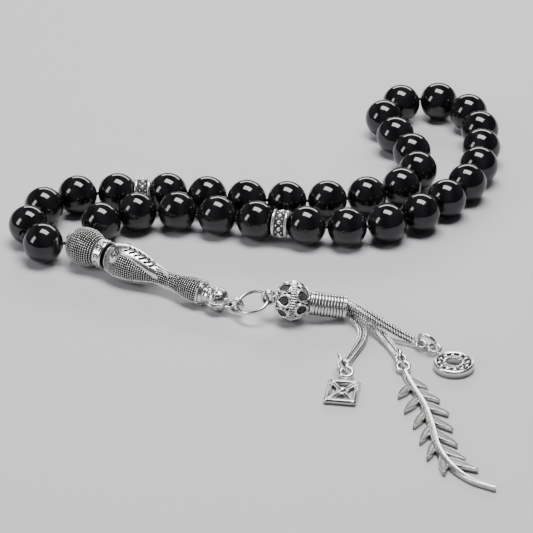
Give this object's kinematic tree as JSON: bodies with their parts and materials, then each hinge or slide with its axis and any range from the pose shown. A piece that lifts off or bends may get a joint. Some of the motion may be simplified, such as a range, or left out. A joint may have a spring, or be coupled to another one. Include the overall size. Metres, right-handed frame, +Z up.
{
  "type": "misbaha",
  "caption": "Closed strand of round black stone beads with silver spacers, a forked-blade imame, rings, filigree bead and foxtail chain tassel with flat charms; for counting prayers by hand",
  "frame": {"origin": "On the table, under the middle of the strand and tassel together.", "axes": "+Z up from the table; +X to the right and +Y away from the reader, with the tassel's charms nearest, towards -Y."},
  "size_m": [0.1258, 0.1878, 0.01],
  "materials": {
    "onyx": "polished",
    "silver": "oxidised, polished on the high spots",
    "thread": "twisted black thread"
  },
  "bodies": {
    "strand": {"string": "thread"},
    "imame": {"imame_head": "silver", "imame_body": "silver", "blade_ornament": "silver", "knot_cup_upper": "silver", "knot_cup_lower": "silver", "cord_ends": "thread"},
    "link": {"link_ring": "silver"},
    "ring": {"large_ring": "silver"},
    "tassel": {"tassel_pin": "silver", "wire_coil": "silver", "cap_core": "silver"},
    "filigree": {"filigree_bead": "silver"},
    "pair_left": {"chain_left_a": "silver", "chain_left_b": "silver"},
    "pair_middle": {"chain_middle_a": "silver", "chain_middle_b": "silver"},
    "pair_right": {"chain_right_a": "silver", "chain_right_b": "silver"},
    "jump_left": {"jump_ring_left": "silver"},
    "jump_middle": {"jump_ring_middle": "silver"},
    "jump_right": {"jump_ring_right": "silver"},
    "charm_left": {"charm_left": "silver"},
    "charm_middle": {"charm_middle": "silver"},
    "charm_right": {"charm_right": "silver"},
    "bead_01_turn": {"bead_01": "onyx"},
    "bead_02_turn": {"bead_02": "onyx"},
    "bead_03_turn": {"bead_03": "onyx"},
    "bead_04_turn": {"bead_04": "onyx"},
    "bead_05_turn": {"bead_05": "onyx"},
    "spacer_1_turn": {"spacer_1": "silver"},
    "bead_06_turn": {"bead_06": "onyx"},
    "bead_07_turn": {"bead_07": "onyx"},
    "bead_08_turn": {"bead_08": "onyx"},
    "bead_09_turn": {"bead_09": "onyx"},
    "bead_10_turn": {"bead_10": "onyx"},
    "bead_11_turn": {"bead_11": "onyx"},
    "bead_12_turn": {"bead_12": "onyx"},
    "bead_13_turn": {"bead_13": "onyx"},
    "bead_14_turn": {"bead_14": "onyx"},
    "bead_15_turn": {"bead_15": "onyx"},
    "bead_16_turn": {"bead_16": "onyx"},
    "bead_17_turn": {"bead_17": "onyx"},
    "bead_18_turn": {"bead_18": "onyx"},
    "bead_19_turn": {"bead_19": "onyx"},
    "bead_20_turn": {"bead_20": "onyx"},
    "bead_21_turn": {"bead_21": "onyx"},
    "bead_22_turn": {"bead_22": "onyx"},
    "bead_23_turn": {"bead_23": "onyx"},
    "bead_24_turn": {"bead_24": "onyx"},
    "bead_25_turn": {"bead_25": "onyx"},
    "bead_26_turn": {"bead_26": "onyx"},
    "bead_27_turn": {"bead_27": "onyx"},
    "bead_28_turn": {"bead_28": "onyx"},
    "spacer_2_turn": {"spacer_2": "silver"},
    "bead_29_turn": {"bead_29": "onyx"},
    "bead_30_turn": {"bead_30": "onyx"},
    "bead_31_turn": {"bead_31": "onyx"},
    "bead_32_turn": {"bead_32": "onyx"},
    "bead_33_turn": {"bead_33": "onyx"}
  },
  "joints": [
    {"name": "imame_swing", "type": "hinge", "parent": "strand", "child": "imame", "pos_m": [-0.04652, 0.01021, 0.00545], "axis": [0, 0, 1], "range_deg": [-10, 12]},
    {"name": "link_swing", "type": "hinge", "parent": "imame", "child": "link", "pos_m": [-0.00743, -0.01616, 0.00246], "axis": [0, 0, 1], "range_deg": [-8, 6]},
    {"name": "ring_swing", "type": "hinge", "parent": "link", "child": "ring", "pos_m": [-0.00423, -0.01732, 0.00329], "axis": [0, 0, 1], "range_deg": [-8, 6]},
    {"name": "tassel_swing", "type": "hinge", "parent": "ring", "child": "tassel", "pos_m": [0.002, -0.0181, 0.00568], "axis": [0, 0, 1], "range_deg": [-10, 6]},
    {"name": "filigree_spin", "type": "hinge", "parent": "tassel", "child": "filigree", "pos_m": [0.00769, -0.0181, 0.00485], "axis": [0.9895, 0, -0.1444], "continuous": true},
    {"name": "chain_left_swing", "type": "hinge", "parent": "tassel", "child": "pair_left", "pos_m": [0.0208, -0.0181, 0.00294], "axis": [0, 0, 1], "range_deg": [-6, 0]},
    {"name": "chain_middle_swing", "type": "hinge", "parent": "tassel", "child": "pair_middle", "pos_m": [0.0208, -0.0181, 0.00294], "axis": [0, 0, 1], "range_deg": [-1.5, 1.5]},
    {"name": "chain_right_swing", "type": "hinge", "parent": "tassel", "child": "pair_right", "pos_m": [0.0208, -0.0181, 0.00294], "axis": [0, 0, 1], "range_deg": [0, 8]},
    {"name": "jump_left_swing", "type": "hinge", "parent": "pair_left", "child": "jump_left", "pos_m": [0.01945, -0.04182, 0.00135], "axis": [0, 0, 1], "range_deg": [-15, 15]},
    {"name": "jump_middle_swing", "type": "hinge", "parent": "pair_middle", "child": "jump_middle", "pos_m": [0.03313, -0.03922, 0.00133], "axis": [0, 0, 1], "range_deg": [-15, 15]},
    {"name": "jump_right_swing", "type": "hinge", "parent": "pair_right", "child": "jump_right", "pos_m": [0.03814, -0.03257, 0.00133], "axis": [0, 0, 1], "range_deg": [-15, 15]},
    {"name": "charm_left_swing", "type": "hinge", "parent": "jump_left", "child": "charm_left", "pos_m": [0.02021, -0.04537, 0.00135], "axis": [0, 0, 1], "range_deg": [-20, 20]},
    {"name": "charm_middle_swing", "type": "hinge", "parent": "jump_middle", "child": "charm_middle", "pos_m": [0.03355, -0.04282, 0.00133], "axis": [0, 0, 1], "range_deg": [-20, 20]},
    {"name": "charm_right_swing", "type": "hinge", "parent": "jump_right", "child": "charm_right", "pos_m": [0.04122, -0.03449, 0.00133], "axis": [0, 0, 1], "range_deg": [-20, 20]},
    {"name": "bead_01_spin", "type": "hinge", "parent": "strand", "child": "bead_01_turn", "pos_m": [-0.05375, 0.0102, 0.005], "axis": [-0.9903, 0.1392, 0], "continuous": true},
    {"name": "bead_02_spin", "type": "hinge", "parent": "strand", "child": "bead_02_turn", "pos_m": [-0.05795, 0.01955, 0.005], "axis": [0.2079, 0.9781, 0], "continuous": true},
    {"name": "bead_03_spin", "type": "hinge", "parent": "strand", "child": "bead_03_turn", "pos_m": [-0.0547, 0.02926, 0.005], "axis": [0.4226, 0.9063, 0], "continuous": true},
    {"name": "bead_04_spin", "type": "hinge", "parent": "strand", "child": "bead_04_turn", "pos_m": [-0.04652, 0.03542, 0.005], "axis": [0.9877, 0.1564, 0], "continuous": true},
    {"name": "bead_05_spin", "type": "hinge", "parent": "strand", "child": "bead_05_turn", "pos_m": [-0.03636, 0.03667, 0.005], "axis": [0.9962, 0.0872, 0], "continuous": true},
    {"name": "spacer_1_spin", "type": "hinge", "parent": "strand", "child": "spacer_1_turn", "pos_m": [-0.02997, 0.03712, 0.005], "axis": [1, 0, 0], "continuous": true},
    {"name": "bead_06_spin", "type": "hinge", "parent": "strand", "child": "bead_06_turn", "pos_m": [-0.02358, 0.03685, 0.005], "axis": [0.9986, -0.0523, 0], "continuous": true},
    {"name": "bead_07_spin", "type": "hinge", "parent": "strand", "child": "bead_07_turn", "pos_m": [-0.01349, 0.03507, 0.005], "axis": [0.9563, -0.2924, 0], "continuous": true},
    {"name": "bead_08_spin", "type": "hinge", "parent": "strand", "child": "bead_08_turn", "pos_m": [-0.00344, 0.03312, 0.005], "axis": [0.9962, -0.0872, 0], "continuous": true},
    {"name": "bead_09_spin", "type": "hinge", "parent": "strand", "child": "bead_09_turn", "pos_m": [0.00677, 0.0324, 0.005], "axis": [0.9986, -0.0523, 0], "continuous": true},
    {"name": "bead_10_spin", "type": "hinge", "parent": "strand", "child": "bead_10_turn", "pos_m": [0.01701, 0.03276, 0.005], "axis": [0.9925, 0.1219, 0], "continuous": true},
    {"name": "bead_11_spin", "type": "hinge", "parent": "strand", "child": "bead_11_turn", "pos_m": [0.02702, 0.03489, 0.005], "axis": [0.9563, 0.2924, 0], "continuous": true},
    {"name": "bead_12_spin", "type": "hinge", "parent": "strand", "child": "bead_12_turn", "pos_m": [0.03602, 0.03978, 0.005], "axis": [0.766, 0.6428, 0], "continuous": true},
    {"name": "bead_13_spin", "type": "hinge", "parent": "strand", "child": "bead_13_turn", "pos_m": [0.04059, 0.04894, 0.005], "axis": [0.0523, 0.9986, 0], "continuous": true},
    {"name": "bead_14_spin", "type": "hinge", "parent": "strand", "child": "bead_14_turn", "pos_m": [0.03943, 0.05911, 0.005], "axis": [-0.2756, 0.9613, 0], "continuous": true},
    {"name": "bead_15_spin", "type": "hinge", "parent": "strand", "child": "bead_15_turn", "pos_m": [0.03551, 0.06857, 0.005], "axis": [-0.4848, 0.8746, 0], "continuous": true},
    {"name": "bead_16_spin", "type": "hinge", "parent": "strand", "child": "bead_16_turn", "pos_m": [0.03286, 0.07847, 0.005], "axis": [-0.0175, 0.9998, 0], "continuous": true},
    {"name": "bead_17_spin", "type": "hinge", "parent": "strand", "child": "bead_17_turn", "pos_m": [0.03767, 0.08751, 0.005], "axis": [0.8387, 0.5446, 0], "continuous": true},
    {"name": "bead_18_spin", "type": "hinge", "parent": "strand", "child": "bead_18_turn", "pos_m": [0.04784, 0.08876, 0.005], "axis": [0.9455, -0.3256, 0], "continuous": true},
    {"name": "bead_19_spin", "type": "hinge", "parent": "strand", "child": "bead_19_turn", "pos_m": [0.0555, 0.08197, 0.005], "axis": [0.4384, -0.8988, 0], "continuous": true},
    {"name": "bead_20_spin", "type": "hinge", "parent": "strand", "child": "bead_20_turn", "pos_m": [0.0579, 0.07201, 0.005], "axis": [0.0175, -0.9998, 0], "continuous": true},
    {"name": "bead_21_spin", "type": "hinge", "parent": "strand", "child": "bead_21_turn", "pos_m": [0.05772, 0.06177, 0.005], "axis": [-0.0523, -0.9986, 0], "continuous": true},
    {"name": "bead_22_spin", "type": "hinge", "parent": "strand", "child": "bead_22_turn", "pos_m": [0.05647, 0.05161, 0.005], "axis": [-0.1908, -0.9816, 0], "continuous": true},
    {"name": "bead_23_spin", "type": "hinge", "parent": "strand", "child": "bead_23_turn", "pos_m": [0.05297, 0.04199, 0.005], "axis": [-0.4848, -0.8746, 0], "continuous": true},
    {"name": "bead_24_spin", "type": "hinge", "parent": "strand", "child": "bead_24_turn", "pos_m": [0.04731, 0.03345, 0.005], "axis": [-0.6157, -0.788, 0], "continuous": true},
    {"name": "bead_25_spin", "type": "hinge", "parent": "strand", "child": "bead_25_turn", "pos_m": [0.0404, 0.0259, 0.005], "axis": [-0.7314, -0.682, 0], "continuous": true},
    {"name": "bead_26_spin", "type": "hinge", "parent": "strand", "child": "bead_26_turn", "pos_m": [0.03176, 0.0204, 0.005], "axis": [-0.9272, -0.3746, 0], "continuous": true},
    {"name": "bead_27_spin", "type": "hinge", "parent": "strand", "child": "bead_27_turn", "pos_m": [0.02173, 0.01836, 0.005], "axis": [-0.9998, -0.0175, 0], "continuous": true},
    {"name": "bead_28_spin", "type": "hinge", "parent": "strand", "child": "bead_28_turn", "pos_m": [0.01151, 0.01907, 0.005], "axis": [-0.9877, 0.1564, 0], "continuous": true},
    {"name": "spacer_2_spin", "type": "hinge", "parent": "strand", "child": "spacer_2_turn", "pos_m": [0.0052, 0.02016, 0.005], "axis": [-0.9744, 0.225, 0], "continuous": true},
    {"name": "bead_29_spin", "type": "hinge", "parent": "strand", "child": "bead_29_turn", "pos_m": [-0.00097, 0.02186, 0.005], "axis": [-0.9613, 0.2756, 0], "continuous": true},
    {"name": "bead_30_spin", "type": "hinge", "parent": "strand", "child": "bead_30_turn", "pos_m": [-0.01084, 0.0246, 0.005], "axis": [-0.9659, 0.2588, 0], "continuous": true},
    {"name": "bead_31_spin", "type": "hinge", "parent": "strand", "child": "bead_31_turn", "pos_m": [-0.02085, 0.02672, 0.005], "axis": [-0.9877, 0.1564, 0], "continuous": true},
    {"name": "bead_32_spin", "type": "hinge", "parent": "strand", "child": "bead_32_turn", "pos_m": [-0.03108, 0.02628, 0.005], "axis": [-0.9703, -0.2419, 0], "continuous": true},
    {"name": "bead_33_spin", "type": "hinge", "parent": "strand", "child": "bead_33_turn", "pos_m": [-0.03991, 0.02108, 0.005], "axis": [-0.682, -0.7314, 0], "continuous": true}
  ]
}
